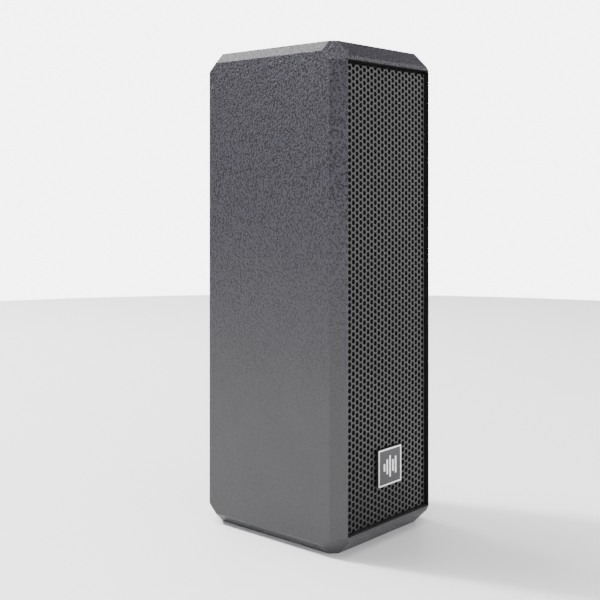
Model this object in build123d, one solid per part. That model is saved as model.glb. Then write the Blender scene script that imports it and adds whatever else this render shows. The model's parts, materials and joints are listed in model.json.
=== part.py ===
from build123d import *
import os
from math import asin, cos, sin

# A compact column loudspeaker: a chamfered wooden cabinet with four small drivers in a
# vertical line behind a folded perforated steel grille, and a recessed terminal dish with
# two twist-lock sockets and a transformer tap selector on the back.
#
# Millimetres. Origin at the centre of the base, +Z up, the grille faces -Y, +X is on the
# right when the grille is looked at. "depth" is measured back from the front plane.

# Cabinet
width, depth, height = 151.0, 178.0, 465.0
side_thickness = 12.0
end_thickness = 18.0  # top and bottom panels
back_thickness = 12.0
upright_chamfer = 11.4  # the four vertical corners
crosswise_chamfer = 14.2  # front and back edges of the top and bottom
lengthwise_chamfer = 10.0  # side edges of the top and bottom
corner_reach = 29.0  # where a corner's flat cuts the width and the height
corner_reach_depth = 31.0  # where it cuts the depth
edge_radius = 1.2
opening_width = width - 2 * side_thickness
opening_height = height - 2 * end_thickness
middle = height / 2

# Grille
grille_recess = 3.0
sheet_thickness = 1.0
grille_gap = 1.3  # at each side
grille_gap_low, grille_gap_top = 0.4, 2.2  # it stands on the opening's lower wall
grille_width = opening_width - 2 * grille_gap
grille_tall = opening_height - grille_gap_low - grille_gap_top
grille_middle = middle + (grille_gap_low - grille_gap_top) / 2
bend_radius = 2.2
hole_diameter = 4.5
hole_columns, hole_column_pitch, hole_pitch = 22, 5.45, 5.94  # every second column is half a pitch higher
hole_reach = 208.0  # no hole centre is further than this from the grille's middle
foam_thickness, foam_front_clearance, foam_side_clearance = 6.0, 0.3, 0.7
seal_depths, seal_clearance = (8.0, 16.0), 0.05

# Badge
badge_width, badge_tall, badge_thickness, badge_corner = 36.0, 35.0, 1.6, 0.8
badge_pad_margin, badge_pad_thickness = 2.0, 1.0
badge_height = 69.8
badge_border, badge_border_inset = 1.3, 0.4
badge_relief = 0.3
badge_bars = (7.0, 14.0, 20.0, 11.0, 16.0)
badge_bar_width, badge_bar_pitch = 2.2, 4.4

# Baffle and drivers
baffle_front, baffle_thickness = 24.0, 12.0
batten = 12.0
driver_count, driver_pitch = 4, 106.0
flange_size, flange_corner, flange_thickness = 103.0, 22.0, 3.0
flange_bore = 44.2  # radius
cutout_radius = 47.6
driver_screw_offset = 41.0
gasket_thickness = 1.0
flange_front = baffle_front - gasket_thickness - flange_thickness
cone_radius, former_radius = 37.2, 12.4
pole_radius, coil_radius, plate_bore = 11.6, 13.0, 13.4
motor_front = 52.0
front_plate, magnet_length, back_plate = 4.0, 12.0, 5.0
magnet_radius, magnet_bore, motor_plate_radius = 35.0, 18.0, 32.0
spider_depth, spider_thickness, spider_waves, spider_swing = 44.0, 0.5, 6, 0.9
spider_inner, spider_outer, spider_rim = 13.4, 28.2, 32.2
driver_heights = [middle + driver_pitch * (i - (driver_count - 1) / 2) for i in range(driver_count)]

# Terminal dish, sockets and selector on the back
dish_height = 110.0
dish_width, dish_tall, dish_deep = 84.0, 108.0, 26.0  # inside
dish_wall = 2.5
rim_width, rim_tall, rim_thickness = 104.0, 128.0, 3.0
rim_screws = [(x, z) for x in (-47.0, 47.0) for z in (-59.0, 0.0, 59.0)]
dish_floor = depth - dish_deep
socket_places = [(-20.0, dish_height + 24.0), (20.0, dish_height + 24.0)]
socket_bore, socket_barrel, socket_core = 11.0, 12.0, 6.0  # radii
socket_flange, socket_length, socket_wall = 2.0, 26.0, 2.0
selector_height = dish_height - 26.0
shaft_radius, bush_radius, knob_radius = 3.0, 4.5, 12.0
running_gap = 0.05

# Transformer inside the back panel
transformer_height = 225.0
core_half, core_stack, core_deep = 24.0, 9.0, 40.0
coil_half, coil_reach = 15.7, 17.0
clamp_thickness = 1.2
clamp_foot, clamp_screw = 35.0, 30.0  # to either side of the middle
core_limb = 8.0

# Fasteners and inserts
screw_radius, screw_head = 1.75, 4.0
screw_clearance = 2.2  # radius of the hole that a screw passes through
pan_height, countersink, slot_width = 2.4, 1.9, 0.9
small_screw = 1.5
insert_radius, insert_bore, insert_length = 5.0, 2.5, 12.0
bracket_height, bracket_across, bracket_up = 330.0, 70.0, 127.0

# Leads
wire_radius = 0.9


def block(x0, x1, d0, d1, z0, z1):
    """A box between two depths."""
    centre = ((x0 + x1) / 2, (d0 + d1 - depth) / 2, (z0 + z1) / 2)
    return Pos(*centre) * Box(abs(x1 - x0), d1 - d0, abs(z1 - z0))


def plate(sketch, d0, d1, x=0.0, z=0.0):
    """A sketch drawn in X and Z, as thick as from depth d0 to d1."""
    return Pos(x, d1 - depth / 2, z) * extrude(Plane.XZ * sketch, amount=d1 - d0)


def rod(radius, d0, d1, x=0.0, z=0.0):
    """A round bar lying along the depth."""
    return plate(Circle(radius), d0, d1, x, z)


def turned(*outline):
    """Edges drawn as (radius, depth), turned about the depth axis."""
    return Pos(0, -depth / 2, 0) * revolve(make_face(Wire(outline)), Axis.Y)


def turned_points(*points):
    """The same for an outline of straight lines."""
    return turned(*Polyline(*points, close=True).edges())


def places(shape, spots):
    """Copies of a shape at (x, z) spots."""
    return Compound([Pos(x, 0, z) * shape for x, z in spots])


def cut(shape, tools):
    """The shape with every tool taken out of it."""
    for tool in tools:
        shape = shape - tool
    return shape


def cabinet_form():
    """The closed outer form: a box with flats on its twelve edges and eight corners."""
    form = Pos(0, 0, middle) * Box(width, depth, height)
    half = (width / 2, depth / 2, height / 2)

    def trim(shape, normal, point):
        flat = Plane(origin=(point[0], point[1], point[2] + middle), z_dir=normal)
        return split(shape, bisect_by=flat, keep=Keep.BOTTOM)

    for a in (-1, 1):
        for b in (-1, 1):
            form = trim(form, (a, b, 0), (a * (half[0] - upright_chamfer), b * half[1], 0))
            form = trim(form, (a, 0, b), (a * (half[0] - lengthwise_chamfer), 0, b * half[2]))
            form = trim(form, (0, a, b), (0, a * (half[1] - crosswise_chamfer), b * half[2]))
            for c in (-1, 1):
                slope = (a / corner_reach, b / corner_reach_depth, c / corner_reach)
                form = trim(form, slope, (a * (half[0] - corner_reach), b * half[1], c * half[2]))
    return fillet(form.edges(), edge_radius)


def cabinet_panels():
    """The form cut into side, top, bottom and back panels that meet face to face."""
    form = cabinet_form()
    inner, over = opening_width / 2, 1.0
    top, low = height - end_thickness, end_thickness
    left = form & block(-width / 2 - over, -inner, -over, depth + over, -over, height + over)
    right = form & block(inner, width / 2 + over, -over, depth + over, -over, height + over)
    top_panel = form & block(-inner, inner, -over, depth + over, top, height + over)
    bottom_panel = form & block(-inner, inner, -over, depth + over, -over, low)
    end_socket = Cylinder(insert_radius, insert_length)
    top_panel -= Pos(0, 0, height - insert_length / 2) * end_socket
    bottom_panel -= Pos(0, 0, insert_length / 2) * end_socket
    return left, right, top_panel, bottom_panel


def back_panel():
    """The back panel, with the terminal dish's cut-out and rebate and the insert holes."""
    inner, back = opening_width / 2, depth - back_thickness
    panel = block(-inner, inner, back, depth, end_thickness, height - end_thickness)
    clear = 1.0
    around = 2 * (dish_wall + clear)
    cutout = RectangleRounded(dish_width + around, dish_tall + around, 9)
    rebate = RectangleRounded(rim_width + clear, rim_tall + clear, 6.5)
    rebate_floor = depth - rim_thickness - gasket_thickness
    pilots = [rod(screw_radius, back + 1, rebate_floor, x, dish_height + z) for x, z in rim_screws]
    feet = [rod(screw_radius, back, back + 9, s * clamp_screw, transformer_height) for s in (-1, 1)]
    inserts = [rod(insert_radius, back, depth, x, z) for x, z in bracket_holes()]
    tools = [plate(cutout, back, depth, 0, dish_height), plate(rebate, rebate_floor, depth, 0, dish_height)]
    return cut(panel, tools + pilots + feet + inserts)


def bracket_holes():
    """The corners of the wall bracket's hole pattern."""
    across, up = bracket_across / 2, bracket_up / 2
    return [(x, bracket_height + z) for x in (-across, across) for z in (-up, up)]


def rigging_inserts():
    """Threaded inserts: four in the back, one in the top and one in the bottom."""
    sleeve = Cylinder(insert_radius, insert_length) - Cylinder(insert_bore, insert_length)
    flat = Pos(0, (depth - insert_length) / 2, 0) * Rot(90, 0, 0) * sleeve
    ends = [Pos(0, 0, height - insert_length / 2) * sleeve, Pos(0, 0, insert_length / 2) * sleeve]
    return Compound([Pos(x, 0, z) * flat for x, z in bracket_holes()] + ends)


def driver_screw_spots():
    """Four screw positions round each driver."""
    offsets = (-driver_screw_offset, driver_screw_offset)
    return [(x, centre + z) for centre in driver_heights for x in offsets for z in offsets]


def front_baffle():
    """The board that the drivers are screwed to."""
    inner, back = opening_width / 2, baffle_front + baffle_thickness
    board = block(-inner, inner, baffle_front, back, end_thickness, height - end_thickness)
    holes = [rod(cutout_radius, baffle_front, back, 0, z) for z in driver_heights]
    pilots = [rod(screw_radius, baffle_front, back, x, z) for x, z in driver_screw_spots()]
    return cut(board, holes + pilots)


def baffle_battens():
    """Four strips behind the baffle that it is glued against."""
    inner, low, high = opening_width / 2, end_thickness, height - end_thickness
    front = baffle_front + baffle_thickness
    back = front + batten
    uprights = [block(s * inner, s * (inner - batten), front, back, low, high) for s in (-1, 1)]
    across = inner - batten
    rails = [block(-across, across, front, back, z, z + batten) for z in (low, high - batten)]
    return Compound(uprights + rails)


def grille_sheet():
    """Perforated sheet folded back along its four edges, resting on the baffle."""
    front, back = grille_recess, baffle_front
    half_wide, half_tall = grille_width / 2, grille_tall / 2
    tray = block(-half_wide, half_wide, front, back, grille_middle - half_tall, grille_middle + half_tall)
    front_edges = tray.edges().filter_by_position(Axis.Y, front - depth / 2, front - depth / 2)
    tray = fillet(front_edges, bend_radius)
    inside = Rectangle(grille_width - 2 * sheet_thickness, grille_tall - 2 * sheet_thickness)
    tray -= plate(inside, front + sheet_thickness, back, 0, grille_middle)
    field = Rectangle(grille_width - 2 * bend_radius, grille_tall - 2 * bend_radius)
    tray -= plate(field, front, front + sheet_thickness, 0, grille_middle)
    spots = []
    for column in range(hole_columns):
        x = (column - (hole_columns - 1) / 2) * hole_column_pitch
        shift = hole_pitch / 2 if column % 2 else 0.0
        rows = int((hole_reach - shift) // hole_pitch)
        lowest = -rows - (1 if column % 2 else 0)
        spots += [(x, row * hole_pitch + shift) for row in range(lowest, rows + 1)]
    holes = [Wire(Pos(x, z) * Edge.make_circle(hole_diameter / 2)) for x, z in spots]
    face = plate(Face(field.face().outer_wire(), holes), front, front + sheet_thickness, 0, grille_middle)
    return tray + face


def grille_foam():
    """Open-cell foam laid behind the grille's face."""
    front = grille_recess + sheet_thickness + foam_front_clearance
    margin = sheet_thickness + foam_side_clearance
    half_wide, half_tall = grille_width / 2 - margin, grille_tall / 2 - margin
    low, high = grille_middle - half_tall, grille_middle + half_tall
    return block(-half_wide, half_wide, front, front + foam_thickness, low, high)


def grille_edge_seal():
    """Foam strips round the opening that hold the grille by friction."""
    d0, d1 = seal_depths
    half_wide, low, high = opening_width / 2, end_thickness, height - end_thickness
    thick, thick_low, thick_top = [g - seal_clearance for g in (grille_gap, grille_gap_low, grille_gap_top)]
    across = half_wide - grille_gap
    sides = [block(s * (half_wide - thick), s * half_wide, d0, d1, low, high) for s in (-1, 1)]
    ends = [block(-across, across, d0, d1, low, low + thick_low),
            block(-across, across, d0, d1, high - thick_top, high)]
    return Compound(sides + ends)


def badge():
    """A square badge on an adhesive pad, with a raised border and five plain bars."""
    pad_front = grille_recess - badge_pad_thickness
    pad_outline = Rectangle(badge_width - 2 * badge_pad_margin, badge_tall - 2 * badge_pad_margin)
    pad = plate(pad_outline, pad_front, grille_recess, 0, badge_height)
    face = pad_front - badge_thickness
    body = plate(RectangleRounded(badge_width, badge_tall, badge_corner), face, pad_front, 0, badge_height)
    wide, tall = badge_width - 2 * badge_border_inset, badge_tall - 2 * badge_border_inset
    border = RectangleRounded(wide, tall, badge_corner - 0.1)
    border -= RectangleRounded(wide - 2 * badge_border, tall - 2 * badge_border, 0.5)
    relief = [plate(border, face - badge_relief, face, 0, badge_height)]
    for i, bar_tall in enumerate(badge_bars):
        x = (i - (len(badge_bars) - 1) / 2) * badge_bar_pitch
        bar = RectangleRounded(badge_bar_width, bar_tall, 0.6)
        relief.append(plate(bar, face - badge_relief, face, x, badge_height))
    return pad, body, Compound(relief)


def driver_basket():
    """The driver's frame: a square flange, four legs, a spider ledge and a tag board."""
    flange = RectangleRounded(flange_size, flange_size, flange_corner) - Circle(flange_bore)
    frame = plate(flange, flange_front, flange_front + flange_thickness)
    frame += turned_points((44.2, 21), (46.4, 21), (34, 44), (34, 45.6), (30.1, 45.6), (30.1, motor_front),
                           (16, motor_front), (16, 50.4), (28.5, 50.4), (28.5, 44), (32.3, 44))
    window = block(25, 50, 26, 42, -18, 18)
    offsets = (-driver_screw_offset, driver_screw_offset)
    holes = [rod(screw_clearance, flange_front, flange_front + flange_thickness, x, z)
             for x in offsets for z in offsets]
    frame = cut(frame, [Rot(0, angle, 0) * window for angle in (0, 90, 180, 270)] + holes)
    tag_board = block(30.3, 33.9, 45.6, 51.5, -7, 7)
    return Compound([frame.solid(), tag_board.solid()])


def driver_motor():
    """The ring magnet, and the two steel parts that close its field round the coil."""
    plate_back = motor_front + front_plate
    magnet_back = plate_back + magnet_length
    magnet = rod(magnet_radius, plate_back, magnet_back) - rod(magnet_bore, plate_back, magnet_back)
    front = rod(motor_plate_radius, motor_front, plate_back) - rod(plate_bore, motor_front, plate_back)
    yoke = rod(motor_plate_radius, magnet_back, magnet_back + back_plate)
    yoke += rod(pole_radius, motor_front, magnet_back)
    return magnet, Compound([front.solid(), yoke.solid()])


def cone_depth(radius):
    """Depth of the cone's front surface at a radius."""
    return flange_front + 16.2 * (34.2 - radius) / (34.2 - former_radius)


def dome_arc(top, rim):
    """An arc from a dome's top, on the axis, to its rim, centred on the axis."""
    radius = (rim[0] ** 2 + (rim[1] - top) ** 2) / (2 * (rim[1] - top))
    half = asin(rim[0] / radius) / 2
    return ThreePointArc((0, top), (radius * sin(half), top + radius * (1 - cos(half))), rim)


def driver_moving_parts():
    """Cone, dust cap and voice coil, which move together."""
    lip = flange_front
    cone = turned_points((cone_radius, lip), (cone_radius, lip + 0.7), (33.9, lip + 0.7),
                         (former_radius, cone_depth(former_radius) + 0.9),
                         (former_radius, cone_depth(former_radius)), (34.2, lip))
    rim, foot = (14.5, cone_depth(14.5)), (13.8, cone_depth(13.8))
    outer_top, inner_top = 29.3, 29.9
    cap = turned(Line((0, outer_top), (0, inner_top)), dome_arc(inner_top, foot), Line(foot, rim),
                 dome_arc(outer_top, rim))
    former = rod(former_radius, 35.2, 58) - rod(former_radius - 0.4, 35.2, 58)
    winding = rod(coil_radius, 50, 58) - rod(former_radius, 50, 58)
    return cone, cap, Compound([former.solid(), winding.solid()])


def driver_suspension():
    """Half-roll surround and corrugated spider."""
    d = flange_front
    surround = turned(
        Line((47.4, d - 0.7), (44, d - 0.7)), ThreePointArc((44, d - 0.7), (40.5, d - 4.2), (37, d - 0.7)),
        Line((37, d - 0.7), (34.5, d - 0.7)), Line((34.5, d - 0.7), (34.5, d)), Line((34.5, d), (37.7, d)),
        ThreePointArc((37.7, d), (40.5, d - 3.5), (43.3, d)), Line((43.3, d), (47.4, d)),
        Line((47.4, d), (47.4, d - 0.7)))
    step = (spider_outer - spider_inner) / spider_waves
    front, back = spider_depth - spider_thickness, spider_depth
    edges = [Line((former_radius, front), (spider_inner, front))]
    for i in range(spider_waves):
        r, bulge = spider_inner + i * step, spider_swing if i % 2 else -spider_swing
        edges.append(ThreePointArc((r, front), (r + step / 2, front + bulge), (r + step, front)))
        edges.append(ThreePointArc((r, back), (r + step / 2, back + bulge), (r + step, back)))
    edges += [Line((spider_outer, front), (spider_rim, front)), Line((spider_rim, front), (spider_rim, back)),
              Line((spider_rim, back), (spider_outer, back)),
              Line((spider_inner, back), (former_radius, back)),
              Line((former_radius, back), (former_radius, front))]
    return Compound([surround.solid(), turned(*edges).solid()])


def cross_recess(deep):
    """The cross-shaped tool that cuts a screw head's recess."""
    return Box(slot_width, deep, screw_head) + Box(screw_head, deep, slot_width)


def pan_screw(length):
    """A pan-head wood screw pointing back, its head's underside at the origin."""
    head = Rot(90, 0, 0) * Cylinder(screw_head, pan_height, align=(Align.CENTER, Align.CENTER, Align.MIN))
    head = fillet(head.edges().sort_by(Axis.Y)[0], pan_height / 2)
    head -= Pos(0, -pan_height, 0) * cross_recess(2.2)
    shank = Rot(-90, 0, 0) * Cylinder(screw_radius, length, align=(Align.CENTER, Align.CENTER, Align.MIN))
    return head + shank


def countersunk_seat():
    """The cone of a countersunk head, its face at the origin, pointing forward."""
    return Rot(90, 0, 0) * Cone(screw_head - 0.4, screw_radius, countersink,
                                align=(Align.CENTER, Align.CENTER, Align.MIN))


def countersunk_screw(length):
    """A flush screw pointing forward, its head's face at the origin."""
    shank = Rot(90, 0, 0) * Cylinder(screw_radius, length, align=(Align.CENTER, Align.CENTER, Align.MIN))
    return shank + countersunk_seat() - cross_recess(2.0)


def driver_fixings():
    """Sealing gaskets under the driver flanges, and the screws through them."""
    offsets = (-driver_screw_offset, driver_screw_offset)
    ring = RectangleRounded(101, 101, 21) - Circle(cutout_radius)
    gasket = plate(ring, baffle_front - gasket_thickness, baffle_front)
    gasket = cut(gasket, [rod(screw_clearance, baffle_front - gasket_thickness, baffle_front, x, z)
                          for x in offsets for z in offsets])
    screw = Pos(0, flange_front - depth / 2, 0) * pan_screw(15)
    return places(gasket, [(0, z) for z in driver_heights]), places(screw, driver_screw_spots())


def terminal_dish():
    """The moulded dish that holds the sockets and the selector below the back's surface."""
    outer_wide, outer_tall = dish_width + 2 * dish_wall, dish_tall + 2 * dish_wall
    tub = plate(RectangleRounded(outer_wide, outer_tall, 8), dish_floor - dish_wall, depth - rim_thickness)
    rim = plate(RectangleRounded(rim_width, rim_tall, 6), depth - rim_thickness, depth)
    dish = tub + rim - plate(RectangleRounded(dish_width, dish_tall, 5.5), dish_floor, depth)
    back = dish_floor - dish_wall
    holes = []
    for x, z in socket_places:
        holes.append(rod(socket_barrel + 0.2, back, dish_floor, x, z - dish_height))
        holes += [rod(small_screw, back, dish_floor, x + sx, z - dish_height + sz)
                  for sx, sz in socket_screw_spots()]
    holes.append(rod(bush_radius + running_gap, back, dish_floor, 0, selector_height - dish_height))
    for x, z in rim_screws:
        holes.append(rod(screw_radius, depth - rim_thickness, depth, x, z))
        holes.append(Pos(x, depth / 2, z) * countersunk_seat())
    return Pos(0, 0, dish_height) * cut(dish, holes)


def socket_screw_spots():
    """The two diagonal screw positions on a socket's flange."""
    return [(-9.5, 12.0), (9.5, -12.0)]


def terminal_gasket():
    """Foam gasket between the dish's rim and its rebate."""
    ring = RectangleRounded(rim_width - 1, rim_tall - 1, 5.5) - RectangleRounded(92, 116, 9)
    d1 = depth - rim_thickness
    gasket = plate(ring, d1 - gasket_thickness, d1)
    holes = [rod(screw_radius + 0.4, d1 - gasket_thickness, d1, x, z) for x, z in rim_screws]
    return Pos(0, 0, dish_height) * cut(gasket, holes)


def twist_lock_socket(x, z):
    """A four-pole panel socket: a flanged barrel, and the core that carries its contacts."""
    flange_back, barrel_back = dish_floor + socket_flange, dish_floor - socket_length
    well_floor = barrel_back + socket_wall
    shell = plate(RectangleRounded(26, 31, 2.5), dish_floor, flange_back)
    shell += rod(socket_barrel, barrel_back, dish_floor)
    shell -= rod(socket_bore, well_floor, flange_back)
    shell = cut(shell, [rod(small_screw, dish_floor, flange_back, *spot) for spot in socket_screw_spots()])
    ear = block(-1.2, 1.2, barrel_back + 8, flange_back - 1, socket_bore - 0.9, socket_bore + 0.5)
    shell += ear + Rot(0, 180, 0) * ear
    core = rod(socket_core, well_floor, flange_back - 1.5)
    slot = block(-0.9, 0.9, barrel_back + 8, flange_back, socket_core - 1.4, socket_core + 1)
    core = cut(core, [Rot(0, angle, 0) * slot for angle in (45, 135, 225, 315)])
    return Pos(x, 0, z) * Compound([shell.solid(), core.solid()])


def socket_screws():
    """Small machine screws in the socket flanges."""
    face = dish_floor + socket_flange - depth / 2
    head = Pos(0, face + 0.9, 0) * Rot(90, 0, 0) * Cylinder(2.7, 1.8)
    head = fillet(head.edges().sort_by(Axis.Y)[-1], 0.8) - Pos(0, face + 1.8, 0) * Box(3.4, 1.6, 0.7)
    screw = head + Pos(0, face - 3.5, 0) * Rot(90, 0, 0) * Cylinder(small_screw, 7)
    return places(screw, [(x + sx, z + sz) for x, z in socket_places for sx, sz in socket_screw_spots()])


def tap_selector():
    """Rotary switch, its nut, its turning shaft and the knob."""
    back = dish_floor - dish_wall
    bush_end, shaft_start = dish_floor + 4.0, back - 12.0
    bore = rod(shaft_radius + running_gap, shaft_start - 0.5, bush_end)
    switch = block(-14, 14, back - 22, back, -14, 14)
    switch = fillet(switch.edges().filter_by(Axis.Y), 3) + rod(bush_radius, back, bush_end) - bore
    nut = plate(RegularPolygon(7, 6), dish_floor, dish_floor + 2.2)
    nut -= rod(bush_radius + 0.02, dish_floor, dish_floor + 2.2)
    shaft = rod(shaft_radius, shaft_start, dish_floor + 13.0)
    knob_front, knob_back = bush_end + 0.5, dish_floor + 17.0
    knob = rod(knob_radius, knob_front, knob_back)
    knob = fillet(knob.edges().sort_by(Axis.Y)[-1], 1.2) - rod(shaft_radius, knob_front, dish_floor + 13.0)
    flute = rod(1.6, knob_front + 1.5, knob_back, knob_radius + 0.7)
    knob = cut(knob, [Rot(0, 22.5 * i, 0) * flute for i in range(16) if i != 12])
    knob += block(-0.8, 0.8, knob_back - 1, knob_back + 0.6, 2.5, knob_radius - 1.6)
    return [Pos(0, 0, selector_height) * piece for piece in (switch, nut, shaft, knob)]


def transformer():
    """The line transformer: laminated core, winding and the clamp that holds both."""
    back = depth - back_thickness
    front = back - core_deep
    core = block(-core_half, core_half, front, back, -core_stack, core_stack)
    for side in (-1, 1):
        window = (side * core_limb, side * 2 * core_limb, front + core_limb, back - core_limb)
        core -= block(*window, -core_stack, core_stack)
    coil_front, coil_back = front + core_limb + 0.3, back - core_limb - 0.3
    coil = block(-coil_half, coil_half, coil_front, coil_back, -coil_reach, coil_reach)
    coil = fillet(coil.edges().filter_by(Axis.Y), 2.5)
    coil -= block(-core_limb, core_limb, coil_front, coil_back, -core_stack, core_stack)
    t = clamp_thickness
    outer = core_half + t
    clamp = block(-outer, outer, front - t, back, -core_stack, core_stack)
    clamp += block(-clamp_foot, clamp_foot, back - t, back, -core_stack, core_stack)
    clamp -= block(-core_half, core_half, front, back, -core_stack, core_stack)
    feet = Compound(clamp.solids()) if len(clamp.solids()) > 1 else clamp
    feet = cut(feet, [rod(screw_clearance, back - t, back, x) for x in (-clamp_screw, clamp_screw)])
    return [Pos(0, 0, transformer_height) * piece for piece in (core, coil, feet)]


def panel_screws():
    """Countersunk screws in the dish's rim, and pan heads in the transformer's feet."""
    rim = [Pos(x, depth / 2, dish_height + z) * countersunk_screw(11) for x, z in rim_screws]
    foot_front = depth / 2 - back_thickness - clamp_thickness
    feet = [Pos(s * clamp_screw, foot_front, transformer_height) * pan_screw(9.5) for s in (-1, 1)]
    return Compound(rim + feet)


def lead(points, bend):
    """One insulated wire through (x, depth, z) points, with round bends."""
    path = FilletPolyline(*[(x, d - depth / 2, z) for x, d, z in points], radius=bend)
    return sweep(Plane(origin=path @ 0, z_dir=path % 0) * Circle(wire_radius), path=path).solid()


def leads():
    """Two colours of wire: sockets to transformer, transformer to drivers, driver to driver."""
    tag, gap, bend = 33.9, 126.0, 5.0
    red_depth, black_depth = 47.2, 50.2
    coil_top = transformer_height + 13
    coil_low = transformer_height - coil_reach
    socket_back = dish_floor - socket_length
    tap_back = dish_floor - dish_wall - 22
    red, black = [], []
    for low, high in zip(driver_heights, driver_heights[1:]):
        red.append(lead([(tag, red_depth, low + 5.5), (42.5, red_depth, low + 5.5),
                         (42.5, red_depth, high + 2.8), (tag, red_depth, high + 2.8)], bend))
        black.append(lead([(tag, black_depth, low - 2.8), (46.5, black_depth, low - 2.8),
                           (46.5, black_depth, high - 5.5), (tag, black_depth, high - 5.5)], bend))
    upper, lower = driver_heights[2], driver_heights[1]
    red.append(lead([(coil_half, gap + 14, coil_top), (39, gap + 14, coil_top), (39, red_depth, coil_top),
                     (39, red_depth, upper), (tag, red_depth, upper)], 4.5))
    black.append(lead([(coil_half, gap + 20, coil_top), (41.5, gap + 20, coil_top),
                       (41.5, black_depth, coil_top), (41.5, black_depth, lower),
                       (tag, black_depth, lower)], 4.5))
    for x, group, aside in ((-17, red, -10), (17, black, 10)):
        up = socket_places[0][1] + 3
        group.append(lead([(x, socket_back, up), (x, socket_back - 14, up), (x, socket_back - 14, 182),
                           (aside, 145, 182), (aside, 145, coil_low)], bend))
    for x, group in ((-4, red), (0, red), (4, black)):
        group.append(lead([(x, tap_back, selector_height), (x, tap_back - 12, selector_height),
                           (x, tap_back - 12, 188), (x, 150, 188), (x, 150, coil_low)], bend))
    return Compound(red), Compound(black)


def damping_wadding():
    """A pad of polyester wadding laid against the back panel above the transformer."""
    back = depth - back_thickness
    return block(-58, 58, back - 16, back - 1, 252, 438)


def all_nodes():
    """Every node's name and shape."""
    left, right, top, bottom = cabinet_panels()
    nodes = {
        "left_side_panel": left,
        "right_side_panel": right,
        "top_panel": top,
        "bottom_panel": bottom,
        "back_panel": back_panel(),
        "front_baffle": front_baffle(),
        "baffle_battens": baffle_battens(),
        "damping_wadding": damping_wadding(),
        "rigging_inserts": rigging_inserts(),
        "grille_sheet": grille_sheet(),
        "grille_foam": grille_foam(),
        "grille_edge_seal": grille_edge_seal(),
    }
    nodes["badge_pad"], nodes["badge_plate"], nodes["badge_emblem"] = badge()
    magnet, motor_plates = driver_motor()
    cone, cap, coil = driver_moving_parts()
    driver = {"basket": driver_basket(), "magnet": magnet, "motor_plates": motor_plates,
              "cone": cone, "dust_cap": cap, "voice_coil": coil, "suspension": driver_suspension()}
    for number, z in enumerate(driver_heights, 1):
        for name, shape in driver.items():
            nodes[f"driver_{number}_{name}"] = Pos(0, 0, z) * shape
    nodes["driver_gaskets"], nodes["driver_screws"] = driver_fixings()
    nodes["terminal_dish"] = terminal_dish()
    nodes["terminal_gasket"] = terminal_gasket()
    nodes["input_socket"] = twist_lock_socket(*socket_places[0])
    nodes["link_socket"] = twist_lock_socket(*socket_places[1])
    nodes["socket_screws"] = socket_screws()
    selector = ("tap_selector_switch", "tap_selector_nut", "tap_selector_shaft", "tap_selector_knob")
    nodes.update(zip(selector, tap_selector()))
    nodes.update(zip(("transformer_core", "transformer_coil", "transformer_clamp"), transformer()))
    nodes["panel_screws"] = panel_screws()
    nodes["leads_red"], nodes["leads_black"] = leads()
    return nodes


os.makedirs("parts", exist_ok=True)
for name, shape in all_nodes().items():
    export_step(shape, f"parts/{name}.step")
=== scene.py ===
"""A compact column loudspeaker on a pale studio floor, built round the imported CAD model."""
import json
import math

import bpy
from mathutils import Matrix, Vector, noise


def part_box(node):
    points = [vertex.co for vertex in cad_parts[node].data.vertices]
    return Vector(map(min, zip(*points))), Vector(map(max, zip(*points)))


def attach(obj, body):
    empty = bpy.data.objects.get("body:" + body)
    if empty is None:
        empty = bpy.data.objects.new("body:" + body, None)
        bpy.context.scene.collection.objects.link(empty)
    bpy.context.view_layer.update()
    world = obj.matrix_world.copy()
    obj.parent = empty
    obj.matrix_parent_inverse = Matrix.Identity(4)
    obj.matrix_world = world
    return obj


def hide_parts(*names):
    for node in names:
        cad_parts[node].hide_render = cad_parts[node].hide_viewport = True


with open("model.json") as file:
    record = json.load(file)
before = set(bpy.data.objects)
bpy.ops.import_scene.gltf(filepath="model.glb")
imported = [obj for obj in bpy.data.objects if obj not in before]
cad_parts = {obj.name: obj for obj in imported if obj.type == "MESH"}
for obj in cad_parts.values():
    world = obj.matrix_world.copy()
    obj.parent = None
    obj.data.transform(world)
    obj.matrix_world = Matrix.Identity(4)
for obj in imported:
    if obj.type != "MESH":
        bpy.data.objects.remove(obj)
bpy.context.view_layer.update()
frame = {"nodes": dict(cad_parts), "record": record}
nodes = frame["nodes"]
MM = 0.001

# Places read from the frame, in metres.
SIDE_LOW, SIDE_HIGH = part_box("left_side_panel")
FRONT = SIDE_LOW.y
BACK = SIDE_HIGH.y
HEIGHT = SIDE_HIGH.z
HALF_OPENING = -SIDE_HIGH.x
SHEET_LOW, SHEET_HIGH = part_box("grille_sheet")


# ---------------------------------------------------------------- camera and light

def add_camera():
    """The camera stands level, 0.9 m off the near left corner."""
    bearing = math.radians(-48.6)
    distance, sideways, height = 0.9529, -0.0849, 0.3289
    focal_share, drop = 1.6875, 0.1823
    back = Vector((math.sin(bearing), -math.cos(bearing), 0.0))
    right = Vector((math.cos(bearing), math.sin(bearing), 0.0))
    place = Vector((0.0, FRONT, height)) + back * distance + right * sideways
    data = bpy.data.cameras.new("camera")
    data.sensor_width = 36.0
    data.lens = 36.0 * focal_share
    data.shift_y = -drop
    data.clip_start, data.clip_end = 0.01, 100.0
    camera = bpy.data.objects.new("camera", data)
    camera.location = place
    camera.rotation_euler = (math.radians(90.0), 0.0, bearing)
    bpy.context.scene.collection.objects.link(camera)
    bpy.context.scene.camera = camera


def add_area(name, place, target, size, watts):
    """A soft rectangular lamp that faces its target."""
    data = bpy.data.lights.new(name, "AREA")
    data.shape = "RECTANGLE"
    data.size, data.size_y = size
    data.energy = watts
    lamp = bpy.data.objects.new(name, data)
    lamp.location = place
    aim = Vector(target) - Vector(place)
    lamp.rotation_euler = aim.to_track_quat("-Z", "Y").to_euler()
    bpy.context.scene.collection.objects.link(lamp)


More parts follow.
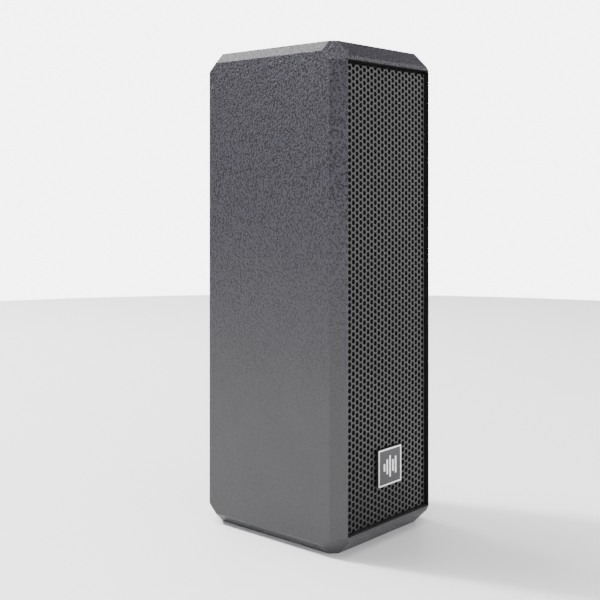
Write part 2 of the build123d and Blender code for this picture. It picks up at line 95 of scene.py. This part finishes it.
def add_lights():
    """Ceiling lamps behind and above, soft lamps at the left and a low strip in front."""
    middle = (0.0, 0.0, HEIGHT / 2)
    add_area("ceiling", (-0.4, 2.1, 3.6), middle, (2.4, 2.4), 260.0)
    add_area("edge_glint", (-0.8, 2.3, 2.85), middle, (0.35, 0.35), 200.0)
    add_area("overhead", (0.1, -0.4, 3.4), middle, (2.0, 2.0), 55.0)
    add_area("left_panel", (-2.45, 0.88, 0.35), middle, (0.8, 0.8), 8.0)
    add_area("left_front", (-0.95, -0.42, 0.26), middle, (0.4, 0.4), 6.5)
    add_area("front_top", (-0.6, -1.7, 1.7), middle, (0.6, 0.6), 12.0)
    add_area("front_low", (0.2, -1.6, 0.12), middle, (0.5, 0.2), 14.0)
    add_world()


def add_world():
    """A studio with a bright backdrop behind the object, dim and cool towards -X, and dim overhead."""
    backdrop_way = (0.75, 0.66, 0.0)
    world = bpy.data.worlds.new("studio")
    bpy.context.scene.world = world
    world.use_nodes = True
    tree = world.node_tree
    background = tree.nodes["Background"]
    coordinates = tree.nodes.new("ShaderNodeTexCoord")
    split = tree.nodes.new("ShaderNodeSeparateXYZ")
    tree.links.new(coordinates.outputs["Generated"], split.inputs["Vector"])

    def ramp(source, low, high, low_colour, high_colour):
        """One colour at low, another at high, and a smooth change between."""
        share = tree.nodes.new("ShaderNodeMapRange")
        share.interpolation_type = "SMOOTHSTEP"
        share.inputs["From Min"].default_value = low
        share.inputs["From Max"].default_value = high
        tree.links.new(source, share.inputs["Value"])
        blend = tree.nodes.new("ShaderNodeMix")
        blend.data_type = "RGBA"
        tree.links.new(share.outputs["Result"], blend.inputs["Factor"])
        slots = {slot.name: slot for slot in blend.inputs if slot.type == "RGBA"}
        for key, colour in (("A", low_colour), ("B", high_colour)):
            if isinstance(colour, tuple):
                slots[key].default_value = (*colour, 1.0)
            else:
                tree.links.new(colour, slots[key])
        return [slot for slot in blend.outputs if slot.type == "RGBA"][0]

    behind = tree.nodes.new("ShaderNodeVectorMath")
    behind.operation = "DOT_PRODUCT"
    behind.inputs[1].default_value = backdrop_way
    tree.links.new(coordinates.outputs["Generated"], behind.inputs[0])
    sides = ramp(split.outputs["X"], -0.85, 0.6, (0.3, 0.28, 0.46), (2.6, 2.6, 2.64))
    round_about = ramp(behind.outputs["Value"], 0.72, 0.92, sides, (6.0, 6.0, 6.06))
    whole = ramp(split.outputs["Z"], 0.19, 0.5, round_about, (0.1, 0.1, 0.105))
    tree.links.new(whole, background.inputs["Color"])


def add_floor():
    """A wide pale floor."""
    bpy.ops.mesh.primitive_circle_add(vertices=96, radius=2.2, fill_type="NGON", location=(0, 0, 0))
    floor = bpy.context.object
    floor.name = "floor"
    floor.data.materials.append(floor_material())


# ---------------------------------------------------------------- materials

class Shader:
    """A material being built: its Principled shader, and short ways to add nodes."""

    def __init__(self, name, colour, roughness, **sockets):
        self.material = bpy.data.materials.new(name)
        self.material.use_nodes = True
        self.tree = self.material.node_tree
        self.surface = self.tree.nodes["Principled BSDF"]
        self.set("Base Color", (*colour, 1.0))
        self.set("Roughness", roughness)
        for key, value in sockets.items():
            self.set(key.replace("_", " "), value)
        coordinates = self.add("ShaderNodeTexCoord")
        self.place = coordinates.outputs["Object"]
        self.material.diffuse_color = (*colour, 1.0)

    def set(self, socket, value):
        self.surface.inputs[socket].default_value = value

    def add(self, kind):
        return self.tree.nodes.new(kind)

    def link(self, source, target):
        self.tree.links.new(source, target)

    def to(self, source, socket):
        self.link(source, self.surface.inputs[socket])

    def noise(self, size, detail=3.0, roughness=0.5, place=None):
        """Noise whose grains are about size millimetres across."""
        node = self.add("ShaderNodeTexNoise")
        node.inputs["Scale"].default_value = 1.0 / (size * MM)
        node.inputs["Detail"].default_value = detail
        node.inputs["Roughness"].default_value = roughness
        self.link(place or self.place, node.inputs["Vector"])
        return node.outputs["Fac"]

    def cells(self, size):
        """Distance to the nearest of points about size millimetres apart."""
        node = self.add("ShaderNodeTexVoronoi")
        node.inputs["Scale"].default_value = 1.0 / (size * MM)
        self.link(self.place, node.inputs["Vector"])
        return node.outputs["Distance"]

    def stretched(self, scale):
        """The object coordinates, scaled along each axis."""
        node = self.add("ShaderNodeMapping")
        node.inputs["Scale"].default_value = scale
        self.link(self.place, node.inputs["Vector"])
        return node.outputs["Vector"]

    def ramp(self, source, low, high, to_low=0.0, to_high=1.0):
        """Maps low..high to to_low..to_high, and holds the ends."""
        node = self.add("ShaderNodeMapRange")
        limits = {"From Min": low, "From Max": high, "To Min": to_low, "To Max": to_high}
        for key, value in limits.items():
            node.inputs[key].default_value = value
        self.link(source, node.inputs["Value"])
        return node.outputs["Result"]

    def math(self, kind, *values):
        """The result of a sum on numbers and sockets."""
        node = self.add("ShaderNodeMath")
        node.operation = kind
        for slot, value in zip(node.inputs, values):
            if isinstance(value, (int, float)):
                slot.default_value = value
            else:
                self.link(value, slot)
        return node.outputs["Value"]

    def mix(self, factor, a, b):
        """Between two colours or colour sockets."""
        node = self.add("ShaderNodeMix")
        node.data_type = "RGBA"
        self.link(factor, node.inputs["Factor"])
        for key, value in (("A", a), ("B", b)):
            slot = [s for s in node.inputs if s.name == key and s.type == "RGBA"][0]
            if isinstance(value, tuple):
                slot.default_value = (*value, 1.0)
            else:
                self.link(value, slot)
        return [s for s in node.outputs if s.type == "RGBA"][0]

    def bump(self, height, depth, strength=1.0):
        """Bump whose full range is depth millimetres."""
        node = self.add("ShaderNodeBump")
        node.inputs["Strength"].default_value = strength
        node.inputs["Distance"].default_value = depth * MM
        self.link(height, node.inputs["Height"])
        return node.outputs["Normal"]

    def axis(self, name):
        """One object coordinate, in metres."""
        node = self.add("ShaderNodeSeparateXYZ")
        self.link(self.place, node.inputs["Vector"])
        return node.outputs[name]

    def between(self, value, low, high):
        """1 where the value lies between the two, 0 elsewhere."""
        above, below = self.math("GREATER_THAN", value, low), self.math("LESS_THAN", value, high)
        return self.math("MULTIPLY", above, below)

    def all_of(self, first, *others):
        """1 where every mask is 1."""
        for other in others:
            first = self.math("MULTIPLY", first, other)
        return first


def floor_material():
    """Pale matt floor with a faint cloud in its tone."""
    shader = Shader("pale_floor", (0.93, 0.93, 0.94), 0.55)
    cloud = shader.noise(400.0, 2.0)
    shader.to(shader.mix(cloud, (0.91, 0.91, 0.92), (0.95, 0.95, 0.96)), "Base Color")
    shader.to(shader.ramp(shader.noise(30.0), 0.3, 0.7, 0.5, 0.62), "Roughness")
    return shader.material


def cabinet_paint():
    """Pebbled dark paint, smoother and painted lighter towards the base as a painted floor reflection,
    with painted shade, near black, on the top and side walls of the grille's opening.
    """
    smooth_below, pebbled_above = 0.26 * HEIGHT, 0.72 * HEIGHT
    shader = Shader("cabinet_paint", (0.012, 0.012, 0.0125), 0.4, Specular_IOR_Level=0.23)
    grain = shader.noise(1.9, 3.0, 0.6)
    pebble = shader.cells(2.1)
    cloud = shader.noise(55.0, 3.0)
    # Towards the base the pebble bump fades and the tone turns lighter; the lighter base tone is a
    # painted reflection of the floor.
    pebbling_vs_floor_reflection = shader.ramp(shader.axis("Z"), smooth_below, pebbled_above, 0.12, 1.0)
    speck = shader.ramp(grain, 0.42, 0.52)
    pebbled = shader.mix(speck, (0.003, 0.003, 0.0034), (0.030, 0.028, 0.0365))
    # smooth holds the lighter base tone: a painted floor reflection.
    smooth = shader.mix(cloud, (0.036, 0.036, 0.0362), (0.044, 0.044, 0.044))
    tone = shader.mix(pebbling_vs_floor_reflection, smooth, pebbled)
    opening_shade = painted_shade_in_opening(shader)
    # Near black on the opening's top and side walls: painted shade.
    shader.to(shader.mix(opening_shade, tone, (0.003, 0.003, 0.003)), "Base Color")
    shine = shader.ramp(grain, 0.35, 0.65, 0.5, 0.34)
    shader.to(shader.math("MAXIMUM", shine, opening_shade), "Roughness")
    height = shader.math("ADD", grain, shader.ramp(pebble, 0.0, 0.75, 0.4, 0.0))
    shader.to(shader.bump(shader.math("MULTIPLY", height, pebbling_vs_floor_reflection), 0.9), "Normal")
    return shader.material


def painted_shade_in_opening(shader):
    """1 on the top and side walls of the front opening, where the painted shade goes, 0 on its sill and
    outside the cabinet.
    """
    sill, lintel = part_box("bottom_panel")[1].z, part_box("top_panel")[0].z
    slack, rim, sill_gap, back_part = 0.15 * MM, 0.4 * MM, 0.3 * MM, 30 * MM
    return shader.all_of(
        shader.between(shader.axis("X"), -HALF_OPENING - slack, HALF_OPENING + slack),
        shader.between(shader.axis("Y"), FRONT + rim, BACK - back_part),
        shader.between(shader.axis("Z"), sill + sill_gap, lintel + slack))


def grille_paint():
    """Satin powder coat on steel, dusty in patches and matt in the holes, with painted shade, near
    black, in the holes and on the folded returns.
    """
    shader = Shader("grille_paint", (0.008, 0.008, 0.0083), 0.34, Specular_IOR_Level=0.45)
    orange_peel = shader.noise(0.7, 2.0)
    dust = shader.noise(22.0, 4.0, 0.6)
    face = shader.mix(shader.ramp(dust, 0.35, 0.7), (0.007, 0.007, 0.0072), (0.012, 0.012, 0.0124))
    # Near black from 0.1 to 0.3 mm behind the front surface on: painted shade in the holes and on the
    # folds and returns.
    painted_shade_in_holes = shader.ramp(shader.axis("Y"), SHEET_LOW.y + 0.1 * MM, SHEET_LOW.y + 0.3 * MM)
    shader.to(shader.mix(painted_shade_in_holes, face, (0.001, 0.001, 0.001)), "Base Color")
    satin = shader.ramp(orange_peel, 0.3, 0.7, 0.3, 0.42)
    shader.to(shader.math("MAXIMUM", painted_shade_in_holes, satin), "Roughness")
    shader.to(shader.bump(orange_peel, 0.05, 0.5), "Normal")
    return shader.material


def foam_black():
    """Black foam with open pores just under a millimetre across."""
    shader = Shader("foam_black", (0.004, 0.004, 0.004), 1.0, Specular_IOR_Level=0.05)
    pores = shader.cells(0.9)
    wall = shader.ramp(pores, 0.0, 0.5)
    shader.to(shader.mix(wall, (0.002, 0.002, 0.002), (0.008, 0.008, 0.008)), "Base Color")
    shader.to(shader.bump(pores, 0.6), "Normal")
    return shader.material


def rubber(name, colour=(0.012, 0.012, 0.012)):
    """Matt dark rubber with a fine grain."""
    shader = Shader(name, colour, 0.7)
    grain = shader.noise(0.5, 3.0)
    shader.to(shader.mix(grain, colour, tuple(2.0 * c for c in colour)), "Base Color")
    shader.to(shader.ramp(grain, 0.3, 0.7, 0.62, 0.8), "Roughness")
    shader.to(shader.bump(grain, 0.05), "Normal")
    return shader.material


def moulded(name, colour, roughness, grain_size=0.6, print_on=None):
    """Moulded plastic with a fine spark-eroded grain, and white print where print_on(shader) is 1."""
    shader = Shader(name, colour, roughness)
    grain = shader.noise(grain_size, 3.0)
    tone = shader.noise(18.0, 3.0)
    face = shader.mix(tone, tuple(0.8 * c for c in colour), tuple(1.25 * c for c in colour))
    if print_on is not None:
        face = shader.mix(print_on(shader), face, (0.7, 0.7, 0.68))
    shader.to(face, "Base Color")
    shader.to(shader.ramp(grain, 0.3, 0.7, roughness - 0.06, roughness + 0.08), "Roughness")
    shader.to(shader.bump(grain, 0.04, 0.6), "Normal")
    return shader.material


def selector_print(shader):
    """The knob's white pointer, and five white marks round it on the dish's floor."""
    low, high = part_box("tap_selector_knob")
    radius, middle = (high.x - low.x) / 2, (low.z + high.z) / 2
    mark_step, mark_half_wide, last_mark = math.radians(30.0), 0.09, 2.3  # the last two in steps
    x, y = shader.axis("X"), shader.axis("Y")
    up = shader.math("SUBTRACT", shader.axis("Z"), middle)
    pointer = shader.all_of(shader.between(x, -1.0 * MM, 1.0 * MM),
                            shader.between(y, high.y - 0.3 * MM, high.y + MM),
                            shader.between(up, 0.2 * radius, radius))
    squares = shader.math("ADD", shader.math("POWER", x, 2.0), shader.math("POWER", up, 2.0))
    reach = shader.math("SQRT", squares)
    turn = shader.math("DIVIDE", shader.math("ARCTAN2", x, up), mark_step)
    off_mark = shader.math("SUBTRACT", turn, shader.math("ROUND", turn))
    marks = shader.all_of(shader.between(reach, radius + 1.5 * MM, radius + 4.5 * MM),
                          shader.between(turn, -last_mark, last_mark),
                          shader.between(off_mark, -mark_half_wide, mark_half_wide),
                          shader.between(y, low.y - 6 * MM, low.y))
    return shader.math("MAXIMUM", pointer, marks)


def metal(name, colour, roughness, brushed=None):
    """Metal with fine grinding marks along one axis, or an even cast grain."""
    shader = Shader(name, colour, roughness, Metallic=1.0)
    place = shader.place if brushed is None else shader.stretched(brushed)
    grain = shader.noise(0.5, 4.0, 0.6, place)
    tone = shader.noise(9.0, 3.0)
    shader.to(shader.mix(tone, tuple(0.85 * c for c in colour), colour), "Base Color")
    shader.to(shader.ramp(grain, 0.25, 0.75, roughness - 0.08, roughness + 0.12), "Roughness")
    shader.to(shader.bump(grain, 0.02, 0.4), "Normal")
    return shader.material


def wood():
    """Bare plywood with upright grain."""
    shader = Shader("bare_wood", (0.5, 0.36, 0.22), 0.7)
    rings = shader.noise(18.0, 5.0, 0.6, shader.stretched((6.0, 6.0, 0.6)))
    shader.to(shader.mix(rings, (0.34, 0.22, 0.12), (0.62, 0.46, 0.29)), "Base Color")
    shader.to(shader.bump(rings, 0.1), "Normal")
    return shader.material


def wadding_fibre():
    """Off-white polyester fibre."""
    shader = Shader("wadding", (0.78, 0.78, 0.75), 0.95, Sheen_Weight=0.4)
    fibre = shader.noise(1.2, 6.0, 0.75)
    shader.to(shader.mix(fibre, (0.62, 0.62, 0.59), (0.86, 0.86, 0.83)), "Base Color")
    shader.to(shader.bump(fibre, 0.8), "Normal")
    return shader.material


def badge_face():
    """Dark satin face with fine horizontal brushing."""
    shader = Shader("badge_face", (0.02, 0.02, 0.021), 0.4, Metallic=0.15)
    lines = shader.noise(0.35, 3.0, 0.6, shader.stretched((0.08, 1.0, 1.0)))
    shader.to(shader.mix(lines, (0.014, 0.014, 0.0152), (0.024, 0.024, 0.0258)), "Base Color")
    shader.to(shader.ramp(lines, 0.3, 0.7, 0.34, 0.5), "Roughness")
    shader.to(shader.bump(lines, 0.02, 0.5), "Normal")
    return shader.material


def lamination():
    """Stacked core sheets seen on edge."""
    shader = Shader("lamination", (0.16, 0.16, 0.17), 0.45, Metallic=0.8)
    sheets = shader.noise(0.5, 1.0, 0.5, shader.stretched((0.05, 0.05, 1.0)))
    shader.to(shader.mix(sheets, (0.08, 0.08, 0.085), (0.26, 0.26, 0.27)), "Base Color")
    shader.to(shader.bump(sheets, 0.2), "Normal")
    return shader.material


def make_materials():
    """One material for each slot in the record."""
    return {
        "cabinet_paint": cabinet_paint(),
        "bare_wood": wood(),
        "grille_paint": grille_paint(),
        "foam_black": foam_black(),
        "wadding": wadding_fibre(),
        "badge_face": badge_face(),
        "badge_metal": metal("badge_metal", (0.86, 0.86, 0.86), 0.28, (0.1, 1.0, 1.0)),
        "adhesive": rubber("adhesive"),
        "basket_steel": moulded("basket_steel", (0.02, 0.02, 0.021), 0.38, 0.9),
        "ferrite": moulded("ferrite", (0.055, 0.055, 0.058), 0.6, 0.4),
        "plated_steel": metal("plated_steel", (0.66, 0.65, 0.62), 0.3),
        "cone_paper": moulded("cone_paper", (0.018, 0.018, 0.02), 0.75, 1.4),
        "dust_cap": moulded("dust_cap", (0.015, 0.015, 0.017), 0.6, 1.0),
        "copper_wire": metal("copper_wire", (0.78, 0.38, 0.2), 0.3, (1.0, 0.1, 1.0)),
        "suspension": rubber("suspension", (0.016, 0.016, 0.016)),
        "black_screw": metal("black_screw", (0.035, 0.035, 0.037), 0.4),
        "black_plastic": moulded("black_plastic", (0.02, 0.02, 0.021), 0.5, print_on=selector_print),
        "socket_plastic": moulded("socket_plastic", (0.012, 0.012, 0.013), 0.34, 0.8),
        "insert_brass": metal("insert_brass", (0.72, 0.55, 0.26), 0.32),
        "lamination": lamination(),
        "coil_tape": moulded("coil_tape", (0.62, 0.42, 0.07), 0.4, 1.2),
        "red_wire": moulded("red_wire", (0.45, 0.02, 0.02), 0.4, 0.8),
        "black_wire": moulded("black_wire", (0.015, 0.015, 0.015), 0.4, 0.8),
    }


def dress_nodes(materials):
    """Gives every carried-over CAD node the material of its slot."""
    for entry in frame["record"]["subparts"]:
        mesh = nodes[entry["node"]].data
        mesh.materials.clear()
        mesh.materials.append(materials[entry["material_slot"]])
        mesh.polygons.foreach_set("material_index", [0] * len(mesh.polygons))


# ---------------------------------------------------------------- helpers for new pieces

def new_piece(name, vertices, faces, material, body="cabinet", sharp=35.0):
    """A smooth-shaded mesh object that rides on a body and keeps corners above sharp degrees."""
    mesh = bpy.data.meshes.new(name)
    mesh.from_pydata(vertices, [], faces)
    mesh.update()
    mesh.materials.append(material)
    piece = bpy.data.objects.new(name, mesh)
    bpy.context.scene.collection.objects.link(piece)
    mesh.shade_smooth()
    mesh.set_sharp_from_angle(angle=math.radians(sharp))
    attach(piece, body)
    return piece


def pad(name, across, up, place, material, sharp):
    """A closed pad: two layers of across by up cells, with vertices at place(layer, i, j)."""
    row, size = across + 1, (across + 1) * (up + 1)
    vertices = [place(layer, i, j) for layer in (0, 1) for j in range(up + 1) for i in range(row)]
    faces = []
    for j in range(up):
        for i in range(across):
            a = j * row + i
            quad = [a, a + 1, a + row + 1, a + row]
            faces += [quad, [v + size for v in quad][::-1]]
    border = list(range(across)) + [across + j * row for j in range(up)]
    border += [up * row + i for i in range(across, 0, -1)] + [j * row for j in range(up, 0, -1)]
    for a, b in zip(border, border[1:] + border[:1]):
        faces.append([b, a, a + size, b + size])
    return new_piece(name, vertices, faces, material, sharp=sharp)


# ---------------------------------------------------------------- the grille

class FoldedSheet:
    """Perforated sheet folded back along four edges, drawn flat and then bent.

    Places on the flat sheet are (sx, sz) from its middle. layer is 0 on the front of the sheet
    and 1 on its back. The columns and rows of holes go on over the start of the bend.
    """

    columns, rows = 11, 35.5  # from the middle to the start of the bend, in pitches
    thickness, radius = 1.0 * MM, 2.2 * MM

    def __init__(self):
        half_wide = (SHEET_HIGH.x - SHEET_LOW.x) / 2
        half_tall = (SHEET_HIGH.z - SHEET_LOW.z) / 2
        self.start_x = half_wide - self.radius
        self.start_z = half_tall - self.radius
        self.across = self.start_x / self.columns
        self.pitch = self.start_z / self.rows
        self.neutral = self.radius - self.thickness / 2
        self.arc = self.neutral * math.pi / 2
        self.depth = SHEET_HIGH.y - SHEET_LOW.y
        self.reach = self.arc + self.depth - self.radius
        self.middle = (SHEET_HIGH.z + SHEET_LOW.z) / 2

    def profile(self, beyond, layer):
        """(outward, back) of a place that lies beyond the start of the bend."""
        inner = self.radius - layer * self.thickness
        if beyond < self.arc:
            angle = beyond / self.neutral
            return inner * math.sin(angle), self.radius - inner * math.cos(angle)
        return inner, self.radius + beyond - self.arc

    def bend(self, sx, sz, layer):
        """The folded place of a point on the flat sheet."""
        x, z, back = sx, sz, layer * self.thickness
        if abs(sx) > self.start_x:
            out, back = self.profile(abs(sx) - self.start_x, layer)
            x = math.copysign(self.start_x + out, sx)
        elif abs(sz) > self.start_z:
            out, back = self.profile(abs(sz) - self.start_z, layer)
            z = math.copysign(self.start_z + out, sz)
        return (x, SHEET_LOW.y + back, self.middle + z)


class FlatMesh:
    """Vertices keyed by place and layer on the flat sheet. All of its faces face into the metal."""

    throat_layer = 0.2  # how far into the sheet a hole's rolled edge goes

    def __init__(self, sheet):
        self.sheet = sheet
        self.index, self.points, self.faces, self.front = {}, [], [], []

    def vertex(self, sx, sz, layer):
        key = (round(sx * 1e7), round(sz * 1e7), layer)
        if key not in self.index:
            self.index[key] = len(self.points)
            self.points.append((sx, sz, layer))
        return self.index[key]

    def panel(self, corners):
        """One plain face on the front and the back. Corners run clockwise seen from the front."""
        front = [self.vertex(*c, 0.0) for c in corners]
        back = [self.vertex(*c, 1.0) for c in corners]
        self.faces += [front, back[::-1]]
        self.front.append(front)

    def holed_cell(self, cx, cz, half_x, half_z, radius, bevel):
        """A rectangle round a hole with a small rolled edge at the front."""
        rim = [(half_x, 0), (half_x, half_z), (half_x / 2, half_z), (0, half_z),
               (-half_x / 2, half_z), (-half_x, half_z), (-half_x, 0), (-half_x, -half_z),
               (-half_x / 2, -half_z), (0, -half_z), (half_x / 2, -half_z), (half_x, -half_z)]
        count = len(rim)
        angles = [2 * math.pi * i / count for i in range(count)]
        turn = [(math.cos(angle), math.sin(angle)) for angle in angles]

        def ring(size, layer):
            return [self.vertex(cx + size * c, cz + size * s, layer) for c, s in turn]

        outer = [self.vertex(cx + x, cz + z, 0.0) for x, z in rim]
        outer_back = [self.vertex(cx + x, cz + z, 1.0) for x, z in rim]
        lip, throat, back = ring(radius + bevel, 0.0), ring(radius, self.throat_layer), ring(radius, 1.0)
        loops = (outer, lip, throat, back, outer_back)
        for i in range(count):
            j = (i + 1) % count
            self.faces += [[a[i], b[i], b[j], a[j]] for a, b in zip(loops, loops[1:])]
            self.front.append([outer[j], outer[i]])

    def close_border(self):
        """Walls between the two layers along the outer edge."""
        seen = {}
        for face in self.front:
            pairs = [tuple(face)] if len(face) == 2 else zip(face, face[1:] + face[:1])
            for a, b in pairs:
                edge = frozenset((a, b))
                seen[edge] = None if edge in seen else (a, b)
        for pair in filter(None, seen.values()):
            (ax, az, _), (bx, bz, _) = (self.points[v] for v in pair)
            a, b = pair
            self.faces.append([b, a, self.vertex(ax, az, 1.0), self.vertex(bx, bz, 1.0)])

    def vertices(self):
        return [self.sheet.bend(*p) for p in self.points]


def perforated_sheet(material):
    """The whole folded grille: holes on the face and over the folds, plain returns and corners."""
    sheet = FoldedSheet()
    flat = FlatMesh(sheet)
    half_x, half_z = sheet.across / 2, sheet.pitch / 2
    hole, bevel = 2.3 * MM, 0.25 * MM
    last_row = int(sheet.rows) + 1
    for column in range(-sheet.columns - 1, sheet.columns + 1):
        odd = (column + 1) % 2  # every second column is half a pitch higher
        cx = (column + 0.5) * sheet.across
        on_face = -sheet.columns <= column < sheet.columns
        rows = last_row if on_face else last_row - 2
        for row in range(-rows, rows + 1 - odd):
            flat.holed_cell(cx, (row + odd / 2) * sheet.pitch, half_x, half_z, hole, bevel)
        steps = [cx + half_x * s for s in (-1.0, -0.5, 0.0, 0.5, 1.0)]
        first, beyond = 2 * rows + 1 - odd, 2 * last_row - 1
        edges = [i * half_z for i in range(first, beyond + (3 if on_face else 1))]
        if on_face:
            edges.append(sheet.start_z + sheet.reach)
        for side in (-1, 1):
            for low, high in zip(edges, edges[1:]):
                for a, b in zip(steps, steps[1:]):
                    corners = [(a, side * low), (a, side * high), (b, side * high), (b, side * low)]
                    flat.panel(corners if side > 0 else corners[::-1])
    inner, outer = (sheet.columns + 1) * sheet.across, sheet.start_x + sheet.reach
    count = 2 * last_row - 1
    heights = [i * half_z for i in range(-count, count + 1)]
    for side in (-1, 1):
        for low, high in zip(heights, heights[1:]):
            corners = [(side * inner, low), (side * inner, high),
                       (side * outer, high), (side * outer, low)]
            flat.panel(corners if side > 0 else corners[::-1])
    flat.close_border()
    vertices, faces = flat.vertices(), flat.faces
    for sx in (-1, 1):
        for sz in (-1, 1):
            add_corner(vertices, faces, sheet, sx, sz)
    outward = [face[::-1] for face in faces]
    piece = new_piece("grille", vertices, outward, material)
    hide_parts("grille_sheet")


def add_corner(vertices, faces, sheet, sx, sz):
    """A rounded corner: the fold's profile turned a quarter circle."""
    turns, bends = 6, 5
    steps = [sheet.arc * i / bends for i in range(1, bends + 1)] + [sheet.reach]
    first = len(vertices)

    def point(right, up, back):
        return (sx * (sheet.start_x + right), SHEET_LOW.y + back,
                sheet.middle + sz * (sheet.start_z + up))

    for layer in (0.0, 1.0):
        vertices.append(point(0.0, 0.0, layer * sheet.thickness))
        for t in range(turns + 1):
            angle = math.pi / 2 * t / turns
            for beyond in steps:
                out, back = sheet.profile(beyond, layer)
                vertices.append(point(out * math.cos(angle), out * math.sin(angle), back))
    size = 1 + (turns + 1) * len(steps)

    def at(layer, t, s):
        return first + layer * size + (0 if s < 0 else 1 + t * len(steps) + s)

    new = []
    for t in range(turns):
        for s in range(-1, len(steps) - 1):
            quad = [at(0, t, s), at(0, t, s + 1), at(0, t + 1, s + 1), at(0, t + 1, s)]
            quad = quad[:3] if s < 0 else quad
            back = [v + size for v in quad][::-1]
            new += [quad, back]
        end = len(steps) - 1
        new.append([at(0, t, end), at(1, t, end), at(1, t + 1, end), at(0, t + 1, end)])
    for t, order in ((0, 1), (turns, -1)):
        for s in range(-1, len(steps) - 1):
            new.append([at(0, t, s), at(1, t, s), at(1, t, s + 1), at(0, t, s + 1)][::order])
    flip = sx * sz > 0
    faces += [f if flip else f[::-1] for f in new]


def foam_sheet(material):
    """Reticulated foam behind the grille, with a slightly uneven surface and soft edges."""
    low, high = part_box("grille_foam")
    step, inset, rounding, lump = 3.0 * MM, 0.4 * MM, 1.2 * MM, 6.0 * MM
    nx, nz = int((high.x - low.x) / step), int((high.z - low.z) / step)

    def place(layer, i, j):
        x = low.x + (high.x - low.x) * i / nx
        z = low.z + (high.z - low.z) * j / nz
        wobble = inset * (0.5 + 0.5 * noise.noise(Vector((x, 7.0 * layer, z)) / lump))
        edge = rounding if i in (0, nx) or j in (0, nz) else 0.0
        y = low.y + wobble + edge if layer == 0 else high.y - wobble - edge
        return (x, y, z)

    piece = pad("acoustic_foam", nx, nz, place, material, sharp=60.0)
    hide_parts("grille_foam")


def soft_wadding(material):
    """A lofty fibre pad: crowned, pulled in at its edges and lumpy."""
    low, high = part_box("damping_wadding")
    nx, nz, thick = 24, 38, high.y - low.y

    def place(layer, i, j):
        u, w = 2.0 * i / nx - 1.0, 2.0 * j / nz - 1.0
        crown = (1.0 - abs(u) ** 6) * (1.0 - abs(w) ** 8)
        lump = noise.noise(Vector((u * 3.1, 5.0 * layer, w * 4.7)))
        x = (low.x + high.x) / 2 + u * (high.x - low.x) / 2 * (0.97 + 0.02 * lump)
        z = (low.z + high.z) / 2 + w * (high.z - low.z) / 2 * (0.98 + 0.01 * lump)
        half = thick * 0.5 * (0.25 + 0.6 * crown + 0.12 * lump * crown)
        y = (low.y + high.y) / 2 + (half if layer else -half)
        return (x, y, z)

    piece = pad("wadding_pad", nx, nz, place, material, sharp=80.0)
    smooth = piece.modifiers.new("smooth", "SUBSURF")
    smooth.levels = smooth.render_levels = 1
    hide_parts("damping_wadding")


# ---------------------------------------------------------------- the scene

add_camera()
add_lights()
add_floor()
materials = make_materials()
dress_nodes(materials)
perforated_sheet(materials["grille_paint"])
foam_sheet(materials["foam_black"])
soft_wadding(materials["wadding"])
